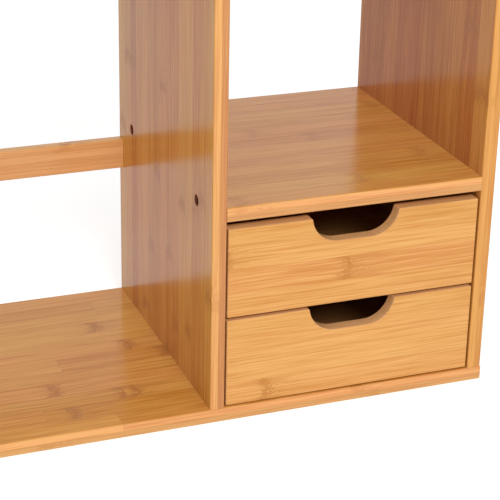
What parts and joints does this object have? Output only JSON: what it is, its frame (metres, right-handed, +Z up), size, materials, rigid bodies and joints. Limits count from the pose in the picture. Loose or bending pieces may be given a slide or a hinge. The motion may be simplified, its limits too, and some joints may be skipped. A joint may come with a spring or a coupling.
{
  "type": "desk organizer",
  "caption": "Free-standing bamboo desktop shelf unit with a wide open bay, a small open cubby and notched drawers that slide out under it.",
  "frame": {"origin": "middle of the base board's underside, on the desk", "axes": "+Z up, +X to the right along the unit's width, -Y out of the open front where the drawers slide"},
  "size_m": [0.6, 0.25, 0.4],
  "materials": {
    "bamboo_board": "semi-gloss clear lacquer over laminated caramel bamboo strips",
    "bamboo_strip": "semi-gloss clear lacquer over a solid bamboo strip",
    "bamboo_drawer_front": "semi-gloss clear lacquer over laminated caramel bamboo strips",
    "bamboo_drawer_box": "thin matt lacquer over laminated bamboo",
    "thin_bamboo_panel": "thin matt lacquer over bamboo ply",
    "hardwood_dowel": "raw turned hardwood",
    "zinc_plated_steel": "dull zinc plate"
  },
  "bodies": {
    "carcass": {"base_board": "bamboo_board", "top_board": "bamboo_board", "left_side_panel": "bamboo_board", "divider_panel": "bamboo_board", "right_side_panel": "bamboo_board", "drawer_shelf": "bamboo_board", "back_rail": "bamboo_strip", "upper_runner_left": "bamboo_strip", "upper_runner_right": "bamboo_strip", "drawer_bay_back": "thin_bamboo_panel", "base_bolts": "zinc_plated_steel", "top_bolts": "zinc_plated_steel", "base_dowels": "hardwood_dowel", "top_dowels": "hardwood_dowel", "shelf_bolts": "zinc_plated_steel", "shelf_dowels": "hardwood_dowel", "rail_screws": "zinc_plated_steel", "rail_dowels": "hardwood_dowel", "runner_screws": "zinc_plated_steel"},
    "upper_drawer": {"upper_drawer_front": "bamboo_drawer_front", "upper_drawer_left_side": "bamboo_drawer_box", "upper_drawer_right_side": "bamboo_drawer_box", "upper_drawer_back": "bamboo_drawer_box", "upper_drawer_bottom": "thin_bamboo_panel", "upper_drawer_dowels": "hardwood_dowel", "upper_drawer_screws": "zinc_plated_steel"},
    "lower_drawer": {"lower_drawer_front": "bamboo_drawer_front", "lower_drawer_left_side": "bamboo_drawer_box", "lower_drawer_right_side": "bamboo_drawer_box", "lower_drawer_back": "bamboo_drawer_box", "lower_drawer_bottom": "thin_bamboo_panel", "lower_drawer_dowels": "hardwood_dowel", "lower_drawer_screws": "zinc_plated_steel"}
  },
  "joints": [
    {"name": "upper_drawer_slide", "type": "slide", "parent": "carcass", "child": "upper_drawer", "axis": [0, -1, 0], "range_m": [0, 0.18]},
    {"name": "lower_drawer_slide", "type": "slide", "parent": "carcass", "child": "lower_drawer", "axis": [0, -1, 0], "range_m": [0, 0.18]}
  ]
}
